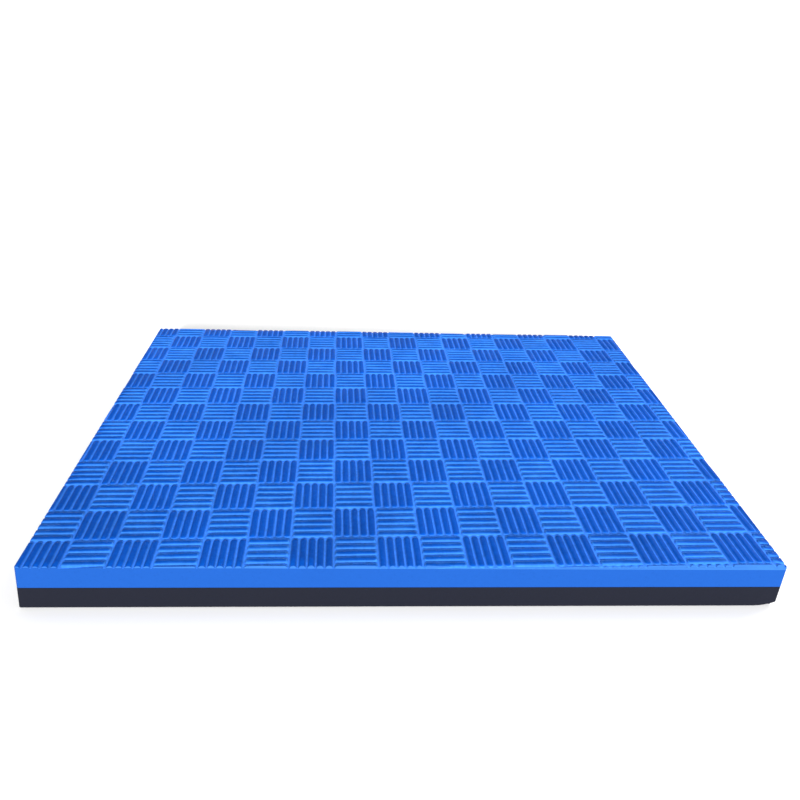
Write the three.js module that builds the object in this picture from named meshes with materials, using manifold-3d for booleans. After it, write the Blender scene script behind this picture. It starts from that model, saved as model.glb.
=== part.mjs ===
// Foam balance pad: a blue and a charcoal EVA foam sheet, laminated face to face.
// Millimetres, +Z up, +X along the pad's long side. The origin is the centre of the underside,
// on the surface that the pad lies on.
import * as THREE from "three";
import { mergeVertices } from "three/addons/utils/BufferGeometryUtils.js";
import Module from "manifold-3d";

// Driving dimensions.
const PAD_LENGTH = 433;
const PAD_WIDTH = 312;
const SHEET_THICKNESS = 15;
const CORNER_RADIUS = 1.5;
const EDGE_EASE = 0.5;
const FILM_THICKNESS = 0.25;
const FILM_SETBACK = 0.5;

const PAD_HEIGHT = 2 * SHEET_THICKNESS;
const FILM_BOTTOM = SHEET_THICKNESS - FILM_THICKNESS / 2;
const FILM_TOP = SHEET_THICKNESS + FILM_THICKNESS / 2;

// How finely the rounded corners and eased edges are divided.
const CORNER_STEPS = 6;
const EASE_STEPS = 2;

const wasm = await Module();
wasm.setup();

// A rectangle with rounded corners, centred on the origin.
function padOutline(length, width, radius) {
  const x = length / 2;
  const y = width / 2;
  const outline = new THREE.Shape();
  outline.moveTo(radius - x, -y);
  outline.lineTo(x - radius, -y);
  outline.absarc(x - radius, radius - y, radius, -Math.PI / 2, 0);
  outline.lineTo(x, y - radius);
  outline.absarc(x - radius, y - radius, radius, 0, Math.PI / 2);
  outline.lineTo(radius - x, y);
  outline.absarc(radius - x, y - radius, radius, Math.PI / 2, Math.PI);
  outline.lineTo(-x, radius - y);
  outline.absarc(radius - x, radius - y, radius, Math.PI, 1.5 * Math.PI);
  return outline;
}

function toSolid(geometry) {
  const bare = geometry.clone();
  bare.deleteAttribute("normal");
  bare.deleteAttribute("uv");
  const merged = mergeVertices(bare);
  return new wasm.Manifold(new wasm.Mesh({
    numProp: 3,
    vertProperties: new Float32Array(merged.attributes.position.array),
    triVerts: new Uint32Array(merged.index.array),
  }));
}

function toGeometry(solid) {
  const mesh = solid.getMesh();
  const geometry = new THREE.BufferGeometry();
  geometry.setAttribute("position", new THREE.BufferAttribute(mesh.vertProperties, 3));
  geometry.setIndex(new THREE.BufferAttribute(mesh.triVerts, 1));
  geometry.computeVertexNormals();
  return geometry;
}

// The whole laminate as it is cut: upright sides, with its top and bottom rims slightly eased.
function laminateBlock() {
  const geometry = new THREE.ExtrudeGeometry(padOutline(PAD_LENGTH, PAD_WIDTH, CORNER_RADIUS), {
    depth: PAD_HEIGHT - 2 * EDGE_EASE,
    curveSegments: CORNER_STEPS,
    bevelThickness: EDGE_EASE,
    bevelSize: EDGE_EASE,
    bevelOffset: -EDGE_EASE,
    bevelSegments: EASE_STEPS,
  });
  geometry.translate(0, 0, EDGE_EASE);
  return toSolid(geometry);
}

// A cutting box that is wider than the pad and reaches between two heights.
function layerBox(bottom, top) {
  const box = new THREE.BoxGeometry(2 * PAD_LENGTH, 2 * PAD_WIDTH, top - bottom);
  box.translate(0, 0, (bottom + top) / 2);
  return toSolid(box);
}

// The part of the laminate that one foam sheet takes up.
function foamSheet(bottom, top) {
  return toGeometry(laminateBlock().intersect(layerBox(bottom, top)));
}

// The hot-melt film fills the joint and stops just short of the cut sides.
function bondFilm() {
  const length = PAD_LENGTH - 2 * FILM_SETBACK;
  const width = PAD_WIDTH - 2 * FILM_SETBACK;
  const film = new THREE.ExtrudeGeometry(padOutline(length, width, CORNER_RADIUS - FILM_SETBACK), {
    depth: FILM_THICKNESS,
    curveSegments: CORNER_STEPS,
    bevelEnabled: false,
  });
  film.translate(0, 0, FILM_BOTTOM);
  return film;
}

const MATERIALS = {
  blueFoam: new THREE.MeshStandardMaterial({ color: 0x3177e7, roughness: 0.72, metalness: 0 }),
  charcoalFoam: new THREE.MeshStandardMaterial({ color: 0x303340, roughness: 0.8, metalness: 0 }),
  hotMeltFilm: new THREE.MeshStandardMaterial({ color: 0x1c2233, roughness: 0.5, metalness: 0 }),
};

function part(name, geometry, material) {
  const mesh = new THREE.Mesh(geometry, material);
  mesh.name = name;
  return mesh;
}

const pad = new THREE.Group();
pad.add(part("base_sheet", foamSheet(0, FILM_BOTTOM), MATERIALS.charcoalFoam));
pad.add(part("bond_film", bondFilm(), MATERIALS.hotMeltFilm));
pad.add(part("top_sheet", foamSheet(FILM_TOP, PAD_HEIGHT), MATERIALS.blueFoam));

export default pad;
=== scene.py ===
"""A foam balance pad: a blue and a charcoal EVA sheet, laminated and cut to size.

Both outer faces carry a pressed basket weave: square tiles of five round-ended bars, turned a
quarter from each tile to the next.
"""
import math

import bmesh
import bpy
import numpy as np
from mathutils import Matrix, Vector


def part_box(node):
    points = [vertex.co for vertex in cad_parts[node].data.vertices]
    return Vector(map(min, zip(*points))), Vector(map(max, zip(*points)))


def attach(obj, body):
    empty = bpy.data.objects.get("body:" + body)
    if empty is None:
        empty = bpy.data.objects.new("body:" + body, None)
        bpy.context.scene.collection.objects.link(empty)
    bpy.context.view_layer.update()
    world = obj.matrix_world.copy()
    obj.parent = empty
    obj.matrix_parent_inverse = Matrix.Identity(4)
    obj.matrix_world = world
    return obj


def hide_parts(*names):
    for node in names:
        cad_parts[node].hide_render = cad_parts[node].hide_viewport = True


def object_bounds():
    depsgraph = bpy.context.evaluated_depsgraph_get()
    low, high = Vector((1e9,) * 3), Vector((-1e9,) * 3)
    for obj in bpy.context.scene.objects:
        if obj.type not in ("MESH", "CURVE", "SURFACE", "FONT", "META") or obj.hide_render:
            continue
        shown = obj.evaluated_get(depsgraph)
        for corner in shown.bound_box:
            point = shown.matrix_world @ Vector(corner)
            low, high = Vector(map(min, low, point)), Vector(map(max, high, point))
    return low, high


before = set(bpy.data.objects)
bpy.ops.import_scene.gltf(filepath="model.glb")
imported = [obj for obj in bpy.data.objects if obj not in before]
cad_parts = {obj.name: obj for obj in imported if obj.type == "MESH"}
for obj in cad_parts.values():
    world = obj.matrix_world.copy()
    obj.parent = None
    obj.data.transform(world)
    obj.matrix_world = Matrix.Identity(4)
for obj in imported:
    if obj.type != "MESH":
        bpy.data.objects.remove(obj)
CAD_LOW, CAD_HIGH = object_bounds()

MM = 0.001

# The pressed pattern: bars stand up between pressed grooves.
TILE = 25 * MM
BARS_PER_TILE = 5
BAR_WIDTH = 4.15 * MM
BAR_LENGTH = 24.1 * MM
BAR_HEIGHT = 1.2 * MM
BAR_PITCH = TILE / BARS_PER_TILE
BAR_SWAY = 0.6 * MM
UNDERSIDE_HEIGHT = 0.5 * MM

# Where the weave lands, and how it drifts from an even grid: a column's and a row's step, and
# how those steps drift over the sheet.
WEAVE_START = Vector((-43.8, -131.3)) * MM
COLUMN_STEP = Vector((25.12, 0.55)) * MM
ROW_STEP = Vector((-0.72, 26.05)) * MM
COLUMN_DRIFT = Vector((0.026, -0.004)) * MM
ROW_DRIFT = Vector((0.008, -0.099)) * MM
CROSS_DRIFT = Vector((-0.023, 0.0)) * MM

# The cut block.
CORNER_RADIUS = 1.5 * MM
RIM_EASE = 0.7 * MM
FRONT_TRIM_LEFT = 0.4 * MM
FRONT_TRIM_RIGHT = 2.2 * MM
WORN_CORNER = 3.2 * MM
WORN_REACH = 14 * MM

# The block is a little out of square: the left side slopes outwards to the floor, and the right
# side stands a touch proud.
LEFT_PROUD_TOP = 0.4 * MM
LEFT_PROUD_FLOOR = 2.6 * MM
RIGHT_PROUD = 0.9 * MM

# The block's top stands this far above the crests, so that the two never share a face.
CLEAR = 1e-4
# The pattern's sheet is closed this far below its grooves, deeper than either foam sheet.
CLOSED_DEPTH = 24 * MM
# A knife face that looks up by more than this belongs to the pared rim.
RIM_TILT = 0.2
# Edges sharper than this keep their crease.
SHARP_ANGLE = math.radians(48)
# Distances from a corner, on the straight sides, that have outline points of their own.
BESIDE_CORNER = [12 * MM, 8 * MM, 5 * MM, 2.5 * MM]
CORNER_STEPS = 6


def new_object(name, mesh):
    piece = bpy.data.objects.new(name, mesh)
    bpy.context.scene.collection.objects.link(piece)
    return piece


# ---------------------------------------------------------------- the pressed pattern

# The weave's own grid of tiles, and the column and row that it starts from.
COLUMNS = 20
ROWS = 16
FIRST_COLUMN = -8
FIRST_ROW = -2
WELD_DISTANCE = 1e-5
SWAY_SCALE = 90.0
QUARTER_STEPS = 3
# 1 leaves a bar's ends round; less makes them squarer.
END_SQUARENESS = 0.75
NEARLY_NOTHING = 1e-9
# Places along a bar's spine that have their own points, from one end to the other.
SPINE_STATIONS = (-1, -1 / 3, 1 / 3, 1)
# Rings from a bar's spine to its foot: how far out, and how high, both as parts of the whole.
BAR_PROFILE = ((0.0, 1.0), (0.4, 0.93), (0.72, 0.71), (0.93, 0.35), (1.0, 0.0))


def squarer(part):
    """Pushes a round end out a little towards its corners."""
    if abs(part) < NEARLY_NOTHING:
        return 0.0
    return math.copysign(abs(part) ** END_SQUARENESS, part)


def bar_outline():
    """Directions round a round-ended bar, each with the spine station that it belongs to."""
    steps = 4 * QUARTER_STEPS
    outline = []
    for step in range(steps):
        angle = 2 * math.pi * step / steps
        direction = Vector((squarer(math.cos(angle)), squarer(math.sin(angle))))
        if step % (2 * QUARTER_STEPS) == 0:
            stations = SPINE_STATIONS if step == 0 else reversed(SPINE_STATIONS)
            outline += [(direction, station) for station in stations]
        else:
            outline.append((direction, 1 if direction.y > 0 else -1))
    return outline


def cell_border():
    """Corners round a bar's strip of the tile, half a bar's pitch apart on every side.

    A tile's four sides are then divided alike, so that tiles weld whichever way they are turned.
    """
    half_width, half_length = BAR_PITCH / 2, TILE / 2
    steps = 2 * BARS_PER_TILE
    right = [(half_width, half_length * (2 * step / steps - 1)) for step in range(steps + 1)]
    left = [(-x, -y) for x, y in right]
    return right + [(0, half_length)] + left + [(0, -half_length)]


def closed_loop(shape, corners):
    count = len(corners)
    return [shape.edges.new((corners[step], corners[(step + 1) % count])) for step in range(count)]


def bar_cell():
    """One bar in its strip of the tile, as an open patch."""
    radius = BAR_WIDTH / 2
    spine_end = BAR_LENGTH / 2 - radius
    outline = bar_outline()
    shape = bmesh.new()
    tips = {end: shape.verts.new((0, end * spine_end, BAR_HEIGHT)) for end in SPINE_STATIONS}
    rings = []
    for out, height in BAR_PROFILE[1:]:
        rings.append([
            shape.verts.new((
                direction.x * radius * out,
                end * spine_end + direction.y * radius * out,
                BAR_HEIGHT * height,
            ))
            for direction, end in outline
        ])
    border = closed_loop(shape, [shape.verts.new((x, y, 0)) for x, y in cell_border()])
    foot = closed_loop(shape, rings[-1])
    bmesh.ops.triangle_fill(shape, edges=border + foot, use_beauty=True, normal=(0, 0, 1))
    count = len(outline)
    for step in range(count):
        after = (step + 1) % count
        end, end_after = outline[step][1], outline[after][1]
        inner = rings[0]
        if end == end_after:
            shape.faces.new((tips[end], inner[step], inner[after]))
        else:
            shape.faces.new((tips[end], inner[step], inner[after], tips[end_after]))
        for near, far in zip(rings, rings[1:]):
            shape.faces.new((near[step], far[step], far[after], near[after]))
    bmesh.ops.recalc_face_normals(shape, faces=shape.faces)
    if sum(face.normal.z for face in shape.faces) < 0:
        bmesh.ops.reverse_faces(shape, faces=shape.faces)
    mesh = bpy.data.meshes.new("bar_cell")
    shape.to_mesh(mesh)
    shape.free()
    return mesh


def add_input(tree, name, kind, value=None):
    socket = tree.interface.new_socket(name, in_out="INPUT", socket_type=kind)
    if value is not None:
        socket.default_value = value
    return socket


class Nodes:
    """Places nodes in a tree and wires their inputs."""

    def __init__(self, tree):
        self.tree = tree

    def add(self, kind, settings=None, **inputs):
        node = self.tree.nodes.new(kind)
        for name, value in (settings or {}).items():
            setattr(node, name, value)
        for name, value in inputs.items():
            self.wire(node, name.replace("_", " "), value)
        return node

    def wire(self, node, name, value):
        socket = node.inputs[name] if not name.isdigit() else node.inputs[int(name)]
        if isinstance(value, bpy.types.NodeSocket):
            self.tree.links.new(value, socket)
        else:
            socket.default_value = value

    def math(self, operation, *values):
        node = self.tree.nodes.new("ShaderNodeMath")
        node.operation = operation
        for position, value in enumerate(values):
            self.wire(node, str(position), value)
        return node.outputs[0]


def store_number(nodes, geometry, name, number):
    """Keeps a number on each point, for the materials to tell the copies apart."""
    store = nodes.add("GeometryNodeStoreNamedAttribute", {"data_type": "FLOAT", "domain": "POINT"},
                      Geometry=geometry, Name=name, Value=number)
    return store.outputs[0]


def basket_weave_tree():
    """Copies one bar's cell into tiles, and the tiles over the sheet, and welds them."""
    tree = bpy.data.node_groups.new("basket weave", "GeometryNodeTree")
    add_input(tree, "Geometry", "NodeSocketGeometry")
    add_input(tree, "Tile", "NodeSocketFloat", TILE)
    add_input(tree, "Bars", "NodeSocketInt", BARS_PER_TILE)
    add_input(tree, "Columns", "NodeSocketInt", COLUMNS)
    add_input(tree, "Rows", "NodeSocketInt", ROWS)
    add_input(tree, "First Column", "NodeSocketInt", FIRST_COLUMN)
    add_input(tree, "First Row", "NodeSocketInt", FIRST_ROW)
    add_input(tree, "Sway", "NodeSocketFloat", BAR_SWAY)
    add_input(tree, "Material", "NodeSocketMaterial")
    tree.interface.new_socket("Geometry", in_out="OUTPUT", socket_type="NodeSocketGeometry")
    nodes = Nodes(tree)
    given = tree.nodes.new("NodeGroupInput").outputs
    tile, bars = given["Tile"], given["Bars"]

    # Five cells side by side make a tile centred on its middle.
    pitch = nodes.math("DIVIDE", tile, bars)
    first_bar = nodes.math("MULTIPLY", nodes.math("SUBTRACT", tile, pitch), -0.5)
    start = nodes.add("ShaderNodeCombineXYZ", X=first_bar).outputs[0]
    step = nodes.add("ShaderNodeCombineXYZ", X=pitch).outputs[0]
    bar_places = nodes.add("GeometryNodeMeshLine", {"mode": "OFFSET"})
    nodes.wire(bar_places, "Count", bars)
    nodes.wire(bar_places, "Start Location", start)
    nodes.wire(bar_places, "Offset", step)
    numbered = store_number(nodes, bar_places.outputs[0], "bar",
                            nodes.add("GeometryNodeInputIndex").outputs[0])
    bars_on = nodes.add("GeometryNodeInstanceOnPoints", Points=numbered,
                        Instance=given["Geometry"])

    # One point a tile, from its column and row number.
    columns, rows = given["Columns"], given["Rows"]
    spots = nodes.add("GeometryNodePoints", Count=nodes.math("MULTIPLY", columns, rows))
    index = nodes.add("GeometryNodeInputIndex").outputs[0]
    row = nodes.math("FLOOR", nodes.math("DIVIDE", index, columns))
    column = nodes.math("SUBTRACT", index, nodes.math("MULTIPLY", row, columns))
    column = nodes.math("ADD", column, given["First Column"])
    row = nodes.math("ADD", row, given["First Row"])
    across = nodes.math("MULTIPLY", nodes.math("ADD", column, 0.5), tile)
    along = nodes.math("MULTIPLY", nodes.math("ADD", row, 0.5), tile)
    nodes.wire(spots, "Position", nodes.add("ShaderNodeCombineXYZ", X=across, Y=along).outputs[0])
    parity = nodes.math("FLOORED_MODULO", nodes.math("ADD", column, row), 2.0)
    turn = nodes.math("MULTIPLY", parity, math.pi / 2)
    numbered = store_number(nodes, spots.outputs[0], "tile", index)
    numbered = store_number(nodes, numbered, "turned", parity)
    tiles_on = nodes.add("GeometryNodeInstanceOnPoints", Points=numbered,
                         Instance=bars_on.outputs[0])
    nodes.wire(tiles_on, "Rotation", nodes.add("ShaderNodeCombineXYZ", Z=turn).outputs[0])

    real = nodes.add("GeometryNodeRealizeInstances", Geometry=tiles_on.outputs[0])
    weld = nodes.add("GeometryNodeMergeByDistance", Geometry=real.outputs[0], Distance=WELD_DISTANCE)

    # Foam comes out of the press a little uneven.
    waves = nodes.add("ShaderNodeTexNoise", Scale=SWAY_SCALE, Detail=2.0).outputs["Color"]
    lean = nodes.add("ShaderNodeVectorMath", {"operation": "SUBTRACT"})
    nodes.wire(lean, "0", waves)
    nodes.wire(lean, "1", (0.5, 0.5, 0.5))
    uneven = nodes.add("ShaderNodeVectorMath", {"operation": "SCALE"}, Scale=given["Sway"])
    nodes.wire(uneven, "0", lean.outputs[0])
    swayed = nodes.add("GeometryNodeSetPosition", Geometry=weld.outputs[0],
                       Offset=uneven.outputs[0])
    finish = nodes.add("GeometryNodeSetMaterial", Geometry=swayed.outputs[0],
                       Material=given["Material"])
    out = tree.nodes.new("NodeGroupOutput")
    tree.links.new(finish.outputs[0], out.inputs[0])
    return tree


def lay_weave(mesh):
    """Moves the even weave to where it lands on the pad, with its drift."""
    places = np.empty(3 * len(mesh.vertices))
    mesh.vertices.foreach_get("co", places)
    places = places.reshape(-1, 3)
    column, row = places[:, 0] / TILE, places[:, 1] / TILE
    terms = ((column, COLUMN_STEP), (row, ROW_STEP), (column * column, COLUMN_DRIFT),
             (row * row, ROW_DRIFT), (column * row, CROSS_DRIFT))
    for axis in (0, 1):
        places[:, axis] = WEAVE_START[axis] + sum(count * step[axis] for count, step in terms)
    mesh.vertices.foreach_set("co", places.ravel())


def pattern_sheet(tree, material):
    """The pattern's whole welded sheet, with its grooves at height 0, as a plain mesh."""
    maker = new_object("pattern_maker", bar_cell())
    weave = maker.modifiers.new("basket weave", "NODES")
    weave.node_group = tree
    for item in tree.interface.items_tree:
        if item.item_type == "SOCKET" and item.name == "Material":
            weave[item.identifier] = material
    depsgraph = bpy.context.evaluated_depsgraph_get()
    mesh = bpy.data.meshes.new_from_object(maker.evaluated_get(depsgraph))
    bpy.data.objects.remove(maker)
    lay_weave(mesh)
    return mesh


# ---------------------------------------------------------------- the foam sheets

def rounded_outline(low, high, radius):
    """Points round a rectangle with rounded corners, each with the way it faces.

    A few more points lie on the straight sides close to each corner.
    """
    corners = (
        (high.x - radius, low.y + radius, -0.5 * math.pi),
        (high.x - radius, high.y - radius, 0.0),
        (low.x + radius, high.y - radius, 0.5 * math.pi),
        (low.x + radius, low.y + radius, math.pi),
    )
    points = []
    for x, y, start in corners:
        arrive = Vector((math.cos(start), math.sin(start), 0))
        leave = Vector((-arrive.y, arrive.x, 0))
        middle = Vector((x, y, 0))
        points += [(middle + arrive * radius - leave * gap, arrive) for gap in BESIDE_CORNER]
        for step in range(CORNER_STEPS + 1):
            angle = start + 0.5 * math.pi * step / CORNER_STEPS
            outward = Vector((math.cos(angle), math.sin(angle), 0))
            points.append((middle + outward * radius, outward))
        points += [(middle + leave * radius + -arrive * gap, leave) for gap in reversed(BESIDE_CORNER)]
    return points


def front_trim(point, outward):
    """The upper front rim is cut away, more and more towards the right."""
    across = (point.x - CAD_LOW.x) / (CAD_HIGH.x - CAD_LOW.x)
    pared = FRONT_TRIM_LEFT + (FRONT_TRIM_RIGHT - FRONT_TRIM_LEFT) * across
    return RIM_EASE + (pared - RIM_EASE) * max(0.0, -outward.y)


def worn_corner(point, outward):
    """An even ease, but the right front corner is rounder.

    The sheet is cut weave up and turned over afterwards, which brings its back to the front.
    """
    corner = Vector((CAD_HIGH.x, CAD_HIGH.y, 0))
    nearness = max(0.0, 1 - (point - corner).length / WORN_REACH)
    return RIM_EASE + WORN_CORNER * nearness ** 2


def out_of_square(x, z):
    """Where the side really lies, for a spot at x on the square outline and at height z."""
    lower = (CAD_HIGH.z - z) / (CAD_HIGH.z - CAD_LOW.z)
    left = LEFT_PROUD_TOP + (LEFT_PROUD_FLOOR - LEFT_PROUD_TOP) * lower
    across = (x - CAD_LOW.x) / (CAD_HIGH.x - CAD_LOW.x)
    return x - left * (1 - across) + RIGHT_PROUD * across


def block(bottom, top, ease, height_of):
    """The cut block: its sides, and its upper rim eased off at 45 degrees."""
    shape = bmesh.new()
    outline = rounded_outline(CAD_LOW, CAD_HIGH, CORNER_RADIUS)
    rings = [[], [], []]
    for point, outward in outline:
        taken = ease(point, outward)
        upper = point - outward * (taken + CLEAR)
        levels = ((point, bottom), (point, top - taken), (upper, top + CLEAR))
        for ring, (spot, z) in zip(rings, levels):
            ring.append(shape.verts.new((out_of_square(spot.x, height_of(z)), spot.y, z)))
    count = len(outline)
    for lower, upper in zip(rings, rings[1:]):
        for step in range(count):
            after = (step + 1) % count
            shape.faces.new((lower[step], lower[after], upper[after], upper[step]))
    shape.faces.new(reversed(rings[0]))
    shape.faces.new(rings[-1])
    mesh = bpy.data.meshes.new("block")
    shape.to_mesh(mesh)
    shape.free()
    return mesh


def close_below(mesh, depth):
    """Gives the open pattern sheet upright sides and a flat underside."""
    shape = bmesh.new()
    shape.from_mesh(mesh)
    rim = [edge for edge in shape.edges if edge.is_boundary]
    walls = bmesh.ops.extrude_edge_only(shape, edges=rim)["geom"]
    for part in walls:
        if isinstance(part, bmesh.types.BMVert):
            part.co.z = -depth
    low_edges = [part for part in walls if isinstance(part, bmesh.types.BMEdge) and part.is_boundary]
    bmesh.ops.holes_fill(shape, edges=low_edges, sides=0)
    bmesh.ops.recalc_face_normals(shape, faces=shape.faces)
    if shape.calc_volume(signed=True) < 0:
        bmesh.ops.reverse_faces(shape, faces=shape.faces)
    shape.to_mesh(mesh)
    shape.free()


def mark_cut_faces(mesh, knife):
    """Notes which faces the knife made, and which of those are the pared rim.

    The block's plain sides are left flat and everything else is smooth.
    """
    faces = mesh.polygons
    blade = mesh.materials.find(knife.name)
    cut = mesh.attributes.new("cut", "FLOAT", "FACE")
    pared = mesh.attributes.new("pared", "FLOAT", "FACE")
    by_knife = [face.material_index == blade for face in faces]
    on_rim = [knife and face.normal.z > RIM_TILT for knife, face in zip(by_knife, faces)]
    cut.data.foreach_set("value", [float(knife) for knife in by_knife])
    pared.data.foreach_set("value", [float(rim) for rim in on_rim])
    faces.foreach_set("material_index", [0] * len(faces))
    faces.foreach_set("use_smooth", [rim or not knife for knife, rim in zip(by_knife, on_rim)])


def foam_sheet(name, tree, material, relief, bottom, top, ease, height_of=lambda z: z):
    """A sheet with the weave on its upper face, cut to the block's outline."""
    mesh = pattern_sheet(tree, material)
    mesh.transform(Matrix.Diagonal((1, 1, relief / BAR_HEIGHT, 1)))
    close_below(mesh, CLOSED_DEPTH)
    mesh.transform(Matrix.Translation((0, 0, top - relief)))
    sheet = new_object(name, mesh)
    knife = bpy.data.materials.new("knife")
    cutter = new_object("cutter", block(bottom, top, ease, height_of))
    cutter.data.materials.append(knife)
    cut = sheet.modifiers.new("cut", "BOOLEAN")
    cut.operation = "INTERSECT"
    cut.solver = "MANIFOLD"
    cut.material_mode = "TRANSFER"
    cut.object = cutter
    depsgraph = bpy.context.evaluated_depsgraph_get()
    result = bpy.data.meshes.new_from_object(sheet.evaluated_get(depsgraph))
    sheet.modifiers.clear()
    sheet.data = result
    bpy.data.objects.remove(cutter)
    result.set_sharp_from_angle(angle=SHARP_ANGLE)
    mark_cut_faces(result, knife)
    result.materials.clear()
    result.materials.append(material)
    bpy.data.materials.remove(knife)
    return sheet


def turn_over(sheet, thickness):
    """Puts the weave underneath."""
    over = Matrix.Rotation(math.pi, 4, "X")
    sheet.data.transform(Matrix.Translation((0, 0, thickness)) @ over)


# ---------------------------------------------------------------- shared surface effects

def shader_group(name, inputs, outputs):
    """A node group, with its inputs given as name: default and its outputs as name: kind."""
    tree = bpy.data.node_groups.new(name, "ShaderNodeTree")
    for label, default in inputs.items():
        kind = "NodeSocketVector" if isinstance(default, tuple) else "NodeSocketFloat"
        add_input(tree, label, kind, default)
    for label, kind in outputs.items():
        tree.interface.new_socket(label, in_out="OUTPUT", socket_type=kind)
    given = tree.nodes.new("NodeGroupInput").outputs
    result = tree.nodes.new("NodeGroupOutput").inputs
    return tree, Nodes(tree), given, result


def ramp(nodes, value, start, end, low=0.0, high=1.0, smooth=True):
    kind = "SMOOTHSTEP" if smooth else "LINEAR"
    node = nodes.add("ShaderNodeMapRange", {"interpolation_type": kind}, Value=value)
    for label, number in (("From Min", start), ("From Max", end), ("To Min", low), ("To Max", high)):
        nodes.wire(node, label, number)
    return node.outputs[0]


def object_place(nodes):
    return nodes.add("ShaderNodeTexCoord").outputs["Object"]


def pressed_relief_group():
    """How far up a bar a spot is: 0 in the groove, 1 on the crest."""
    tree, nodes, given, result = shader_group(
        "pressed relief", {"Crest": 0.03, "Depth": BAR_HEIGHT}, {"Height": "NodeSocketFloat"})
    z = nodes.add("ShaderNodeSeparateXYZ", Vector=object_place(nodes)).outputs["Z"]
    below = nodes.math("ABSOLUTE", nodes.math("SUBTRACT", z, given["Crest"]))
    height = nodes.math("SUBTRACT", 1.0, nodes.math("DIVIDE", below, given["Depth"]))
    tree.links.new(height, result["Height"])
    return tree


def foam_grain_group():
    """Closed cells: a fine pebbled height, with larger pores here and there."""
    tree, nodes, given, result = shader_group(
        "foam grain", {"Cells": 1500.0, "Pores": 380.0, "Pore Share": 0.3},
        {"Height": "NodeSocketFloat", "Pore": "NodeSocketFloat"})
    place = object_place(nodes)
    cells = nodes.add("ShaderNodeTexVoronoi", Vector=place, Scale=given["Cells"])
    fine = nodes.add("ShaderNodeTexNoise", Vector=place, Scale=given["Cells"], Detail=3.0)
    pores = nodes.add("ShaderNodeTexVoronoi", Vector=place, Scale=given["Pores"])
    pick = nodes.add("ShaderNodeSeparateXYZ", Vector=pores.outputs["Color"]).outputs["X"]
    chosen = nodes.math("LESS_THAN", pick, given["Pore Share"])
    pit = nodes.math("MULTIPLY", ramp(nodes, pores.outputs["Distance"], 0.45, 0.1), chosen)
    height = nodes.math("ADD", nodes.math("MULTIPLY", cells.outputs["Distance"], 0.6),
                        fine.outputs[0])
    tree.links.new(nodes.math("SUBTRACT", height, pit), result["Height"])
    tree.links.new(pit, result["Pore"])
    return tree


def mottling_group():
    """Cloudy unevenness of the dye: values round 0.5."""
    tree, nodes, given, result = shader_group(
        "mottling", {"Clouds": 14.0, "Specks": 380.0, "Speck Share": 0.5},
        {"Value": "NodeSocketFloat"})
    place = object_place(nodes)
    clouds = nodes.add("ShaderNodeTexNoise", Vector=place, Scale=given["Clouds"], Detail=4.0,
                       Roughness=0.6).outputs[0]
    specks = nodes.add("ShaderNodeTexNoise", Vector=place, Scale=given["Specks"], Detail=3.0,
                       Roughness=0.7).outputs[0]
    mix = nodes.add("ShaderNodeMix", {"data_type": "FLOAT"}, Factor=given["Speck Share"],
                    A=clouds, B=specks)
    tree.links.new(mix.outputs[0], result["Value"])
    return tree


def tile_shade_group():
    """A steady random number for each tile of the weave, and one for each bar."""
    tree, nodes, given, result = shader_group(
        "tile shade", {"Tile": 0.0, "Bar": 0.0, "Bar Share": 0.4}, {"Shade": "NodeSocketFloat"})
    number = nodes.math("ROUND", given["Tile"])
    step = nodes.math("ROUND", given["Bar"])
    key = nodes.add("ShaderNodeCombineXYZ", X=number).outputs[0]
    tile = nodes.add("ShaderNodeTexWhiteNoise", {"noise_dimensions": "3D"}, Vector=key)
    key = nodes.add("ShaderNodeCombineXYZ", X=number, Y=step, Z=7.0).outputs[0]
    bar = nodes.add("ShaderNodeTexWhiteNoise", {"noise_dimensions": "3D"}, Vector=key)
    mix = nodes.add("ShaderNodeMix", {"data_type": "FLOAT"}, Factor=given["Bar Share"],
                    A=tile.outputs["Value"], B=bar.outputs["Value"])
    tree.links.new(mix.outputs[0], result["Shade"])
    return tree


# ---------------------------------------------------------------- materials

class Surface:
    """A material under way: its nodes, its shader and the helpers that fill it."""

    def __init__(self, name):
        self.material = bpy.data.materials.new(name)
        self.material.use_nodes = True
        self.tree = self.material.node_tree
        self.nodes = Nodes(self.tree)
        self.shader = self.tree.nodes["Principled BSDF"]

    def place(self, group, **inputs):
        node = self.tree.nodes.new("ShaderNodeGroup")
        node.node_tree = group
        for name, value in inputs.items():
            self.nodes.wire(node, name.replace("_", " "), value)
        return node.outputs

    def colour_mix(self, share, low, high):
        node = self.tree.nodes.new("ShaderNodeMix")
        node.data_type = "RGBA"
        self.nodes.wire(node, "0", share)
        for socket, colour in ((node.inputs[6], low), (node.inputs[7], high)):
            if isinstance(colour, bpy.types.NodeSocket):
                self.tree.links.new(colour, socket)
            else:
                socket.default_value = (*colour, 1)
        return node.outputs[2]

    def shaded(self, colour, value):
        """The colour, made lighter or darker by a plain number."""
        scaled = self.nodes.add("ShaderNodeVectorMath", {"operation": "SCALE"}, Scale=value)
        self.tree.links.new(colour, scaled.inputs[0])
        return scaled.outputs[0]

    def attribute(self, name):
        node = self.tree.nodes.new("ShaderNodeAttribute")
        node.attribute_name = name
        return node.outputs["Fac"]

    def finish(self, colour, roughness, height, bump_depth, bump_strength):
        bump = self.nodes.add("ShaderNodeBump", Height=height, Strength=bump_strength,
                              Distance=bump_depth)
        self.nodes.wire(self.shader, "Base Color", colour)
        self.nodes.wire(self.shader, "Roughness", roughness)
        self.nodes.wire(self.shader, "Normal", bump.outputs[0])
        return self.material


# How far up a bar the crests' painted shade starts, and is full, for bars that run each way.
FRONT_BACK_CREST_SHADE = (0.3, 0.78)
LEFT_RIGHT_CREST_SHADE = (0.66, 1.0)
# How far up the grooves' painted sheen fades, and how it comes and goes in patches.
GROOVE_SHEEN_FADE = (0.05, 0.25)
GROOVE_SHEEN_PATCHES = (0.35, 0.6, 0.45, 1.0)
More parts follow.
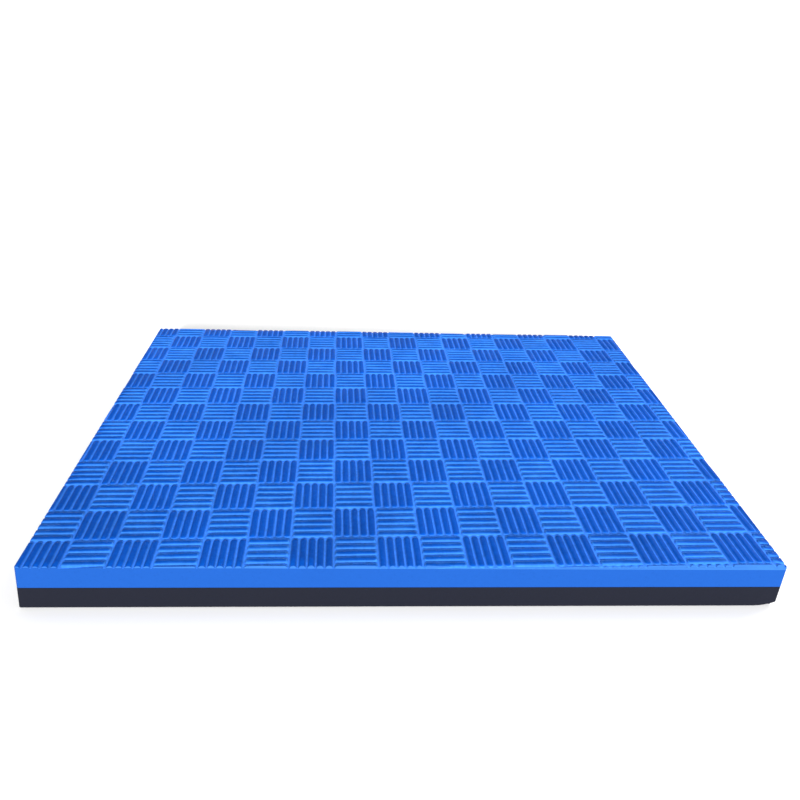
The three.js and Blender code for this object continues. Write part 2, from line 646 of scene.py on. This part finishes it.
# Noise hardly leaves this range.
NOISE_RANGE = (0.3, 0.7)
TILE_SHADE = 0.05
# How much darker pores are painted: painted shade in their pits.
SKIN_PORE_SHADE = 0.12
CELL_PORE_SHADE = 0.05
SKIN_SPECULAR = 0.035
CELL_SPECULAR = 0.03
GRAIN_DEPTH = 0.12 * MM
GRAIN_STRENGTH = 0.35


def foam_material(name, effects, colours, crest, depth, mottle):
    """Pressed EVA foam: a skin over bars and grooves, and plain cells where it was cut."""
    surface = Surface(name)
    nodes = surface.nodes
    bar, flank, groove, cut, pared = colours
    relief = surface.place(effects["relief"], Crest=crest, Depth=depth)["Height"]
    uneven = surface.place(effects["mottling"])["Value"]
    patches = surface.place(effects["mottling"], Clouds=45.0, Specks=300.0)["Value"]
    shade = surface.place(effects["tiles"], Tile=surface.attribute("tile"),
                          Bar=surface.attribute("bar"))["Shade"]
    skin = surface.place(effects["grain"], Cells=1500.0, Pores=420.0, Pore_Share=0.12)
    cells = surface.place(effects["grain"], Cells=1100.0, Pores=520.0, Pore_Share=0.45)
    by_knife, on_rim = surface.attribute("cut"), surface.attribute("pared")

    # The skin: the flanks are painted lighter and the grooves paler still, a painted sheen in patches.
    out_of_groove = ramp(nodes, relief, *GROOVE_SHEEN_FADE, 1.0, 0.0)
    groove_sheen = nodes.math("MULTIPLY", out_of_groove, ramp(nodes, patches, *GROOVE_SHEEN_PATCHES))
    colour = surface.colour_mix(groove_sheen, flank, groove)

    # The crests' darker tint is painted shade. It covers less of a bar's sides in tiles whose bars run
    # left to right, their flanks facing the key light, than in tiles whose bars run front to back.
    turned = surface.attribute("turned")
    crest_shade_from = ramp(nodes, turned, 0, 1, FRONT_BACK_CREST_SHADE[0], LEFT_RIGHT_CREST_SHADE[0], False)
    crest_shade_full = ramp(nodes, turned, 0, 1, FRONT_BACK_CREST_SHADE[1], LEFT_RIGHT_CREST_SHADE[1], False)
    colour = surface.colour_mix(ramp(nodes, relief, crest_shade_from, crest_shade_full), colour, bar)
    shade = ramp(nodes, shade, 0, 1, -TILE_SHADE, TILE_SHADE, False)
    shade = nodes.math("ADD", shade, ramp(nodes, uneven, *NOISE_RANGE, 1 - mottle, 1 + mottle))
    # Pores are painted darker: painted shade in their pits.
    pored = nodes.math("MULTIPLY", skin["Pore"], SKIN_PORE_SHADE)
    shade = nodes.math("SUBTRACT", shade, pored)
    colour = surface.shaded(colour, shade)

    # The knife leaves bare cells; the pared rim is painted lighter, a painted highlight where it faces
    # up.
    bare = surface.colour_mix(on_rim, cut, pared)
    # Pores in the bare cells are painted darker too: painted shade in their pits.
    bare_shade = nodes.math("SUBTRACT", ramp(nodes, uneven, *NOISE_RANGE, 0.98, 1.02),
                            nodes.math("MULTIPLY", cells["Pore"], CELL_PORE_SHADE))
    bare = surface.shaded(bare, bare_shade)
    colour = surface.colour_mix(by_knife, colour, bare)

    gloss = nodes.math("ADD", ramp(nodes, relief, 0.0, 1.0, 0.44, 0.5),
                       ramp(nodes, patches, *NOISE_RANGE, -0.05, 0.05))
    gloss = nodes.math("ADD", gloss, nodes.math("MULTIPLY", by_knife, 0.35))
    height = nodes.add("ShaderNodeMix", {"data_type": "FLOAT"}, Factor=by_knife,
                       A=skin["Height"], B=cells["Height"]).outputs[0]
    shine = ramp(nodes, by_knife, 0.0, 1.0, SKIN_SPECULAR, CELL_SPECULAR, False)
    nodes.wire(surface.shader, "Specular IOR Level", shine)
    return surface.finish(colour, gloss, height, GRAIN_DEPTH, GRAIN_STRENGTH)


def film_material(effects):
    """Hot-melt film, squeezed dark between the sheets."""
    surface = Surface("hot melt film")
    uneven = surface.place(effects["mottling"], Clouds=60.0, Specks=400.0)["Value"]
    colour = surface.colour_mix(uneven, (0.008, 0.02, 0.06), (0.022, 0.05, 0.13))
    height = surface.place(effects["grain"], Cells=900.0, Pores=200.0)["Height"]
    surface.shader.inputs["Specular IOR Level"].default_value = 0.4
    roughness = ramp(surface.nodes, uneven, *NOISE_RANGE, 0.3, 0.5)
    return surface.finish(colour, roughness, height, 0.05 * MM, 0.3)


def studio_material():
    surface = Surface("studio")
    surface.shader.inputs["Base Color"].default_value = (0.93, 0.93, 0.93, 1)
    surface.shader.inputs["Roughness"].default_value = 0.9
    surface.shader.inputs["Specular IOR Level"].default_value = 0.1
    return surface.material


# ---------------------------------------------------------------- the pieces

# Tints of the bars' crests, their flanks, the grooves, the cut sides and the pared rim.
# Crests carry painted shade, flanks and grooves painted light and sheen, the pared rim a painted
# highlight.
BLUE = ((0.001, 0.058, 0.35), (0.026, 0.152, 0.53), (0.04, 0.195, 0.76), (0.0085, 0.0605, 0.27),
        (0.03, 0.13, 0.42))
CHARCOAL = ((0.014, 0.015, 0.022), (0.02, 0.021, 0.03), (0.04, 0.042, 0.055),
            (0.0095, 0.0105, 0.0168), (0.02, 0.02, 0.03))
# How strong the mottling of each sheet is.
BLUE_MOTTLE = 0.2
CHARCOAL_MOTTLE = 0.1


def build_pad():
    effects = {
        "relief": pressed_relief_group(),
        "grain": foam_grain_group(),
        "mottling": mottling_group(),
        "tiles": tile_shade_group(),
    }
    blue = foam_material("blue EVA foam", effects, BLUE, CAD_HIGH.z, BAR_HEIGHT, BLUE_MOTTLE)
    charcoal = foam_material("charcoal EVA foam", effects, CHARCOAL, 0.0, UNDERSIDE_HEIGHT,
                             CHARCOAL_MOTTLE)
    tree = basket_weave_tree()
    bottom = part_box("top_sheet")[0].z
    upper = foam_sheet("blue_sheet", tree, blue, BAR_HEIGHT, bottom, CAD_HIGH.z, front_trim)
    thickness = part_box("base_sheet")[1].z
    lower = foam_sheet("charcoal_sheet", tree, charcoal, UNDERSIDE_HEIGHT, 0.0, thickness,
                       worn_corner, lambda z: thickness - z)
    turn_over(lower, thickness)
    for piece, node, slot in ((upper, "top_sheet", "blue_foam"),
                              (lower, "base_sheet", "charcoal_foam")):
        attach(piece, "root")
        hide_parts(node)
    film = film_material(effects)
    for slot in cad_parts["bond_film"].material_slots:
        slot.material = film


# ---------------------------------------------------------------- the studio

# The floor and its sweep, in metres.
FLOOR_SIDE = 30.0
FLOOR_FRONT = -30.0
FLOOR_GAP = 0.3 * MM
SWEEP_BACK = 5.0
SWEEP_RISE = 1.2
SWEEP_RADIUS = 0.6
SWEEP_STEPS = 8

# Strengths in Blender's own units, angles in degrees, places and sizes in metres.
SKY = 0.48
KEY = 6.8
KEY_RISE = 18.0
KEY_TURN = 1.6
KEY_WIDTH = 14.0
SIDE = 13.0
SIDE_SIZE = 0.8
SIDE_PLACE = (0.95, 0.45, 0.95)
SIDE_TARGET = (0.12, 0, 0)

CAMERA_LENS = 31.73
CAMERA_SENSOR = 36
CAMERA_SHIFT = (0.01375, -0.1)
CAMERA_PLACE = (-0.035025, -0.459186, 0.315022)
CAMERA_ANGLES = (66.12306, -2.13042, -2.26313)


def build_studio():
    """A white floor that sweeps up behind, well beyond the pad."""
    bend = SWEEP_BACK - SWEEP_RADIUS
    profile = [(FLOOR_FRONT, 0.0), (bend, 0.0)]
    for step in range(1, SWEEP_STEPS + 1):
        angle = 0.5 * math.pi * step / SWEEP_STEPS
        profile.append((bend + SWEEP_RADIUS * math.sin(angle),
                        SWEEP_RADIUS - SWEEP_RADIUS * math.cos(angle)))
    profile.append((SWEEP_BACK, SWEEP_RISE))
    ground = CAD_LOW.z - FLOOR_GAP
    corners = [(x, y, z + ground) for y, z in profile for x in (-FLOOR_SIDE, FLOOR_SIDE)]
    faces = [(2 * k, 2 * k + 1, 2 * k + 3, 2 * k + 2) for k in range(len(profile) - 1)]
    mesh = bpy.data.meshes.new("sweep")
    mesh.from_pydata(corners, [], faces)
    mesh.materials.append(studio_material())
    sweep = new_object("sweep", mesh)


def aim(lamp, place, target):
    lamp.location = place
    lamp.rotation_euler = (Vector(target) - Vector(place)).to_track_quat("-Z", "Y").to_euler()


def light_studio():
    scene = bpy.context.scene
    scene.view_settings.view_transform = "Standard"
    world = bpy.data.worlds.new("studio")
    scene.world = world
    world.use_nodes = True
    background = world.node_tree.nodes["Background"]
    background.inputs["Color"].default_value = (1, 1, 1, 1)
    background.inputs["Strength"].default_value = SKY

    # Low soft daylight from in front picks out the bars.
    key = bpy.data.lights.new("key", "SUN")
    key.energy = KEY
    key.angle = math.radians(KEY_WIDTH)
    lamp = new_object("key", key)
    rise, turn = math.radians(KEY_RISE), math.radians(KEY_TURN)
    place = (math.cos(rise) * math.sin(turn), -math.cos(rise) * math.cos(turn), math.sin(rise))
    aim(lamp, place, (0, 0, 0))

    # A softbox to the right keeps that side a little brighter.
    side = bpy.data.lights.new("side", "AREA")
    side.shape = "RECTANGLE"
    side.size = SIDE_SIZE
    side.size_y = SIDE_SIZE
    side.energy = SIDE
    aim(new_object("side", side), SIDE_PLACE, SIDE_TARGET)


def place_camera():
    data = bpy.data.cameras.new("camera")
    data.lens = CAMERA_LENS
    data.sensor_width = CAMERA_SENSOR
    data.shift_x, data.shift_y = CAMERA_SHIFT
    camera = new_object("camera", data)
    camera.location = CAMERA_PLACE
    camera.rotation_euler = [math.radians(angle) for angle in CAMERA_ANGLES]
    bpy.context.scene.camera = camera


build_pad()
build_studio()
light_studio()
place_camera()
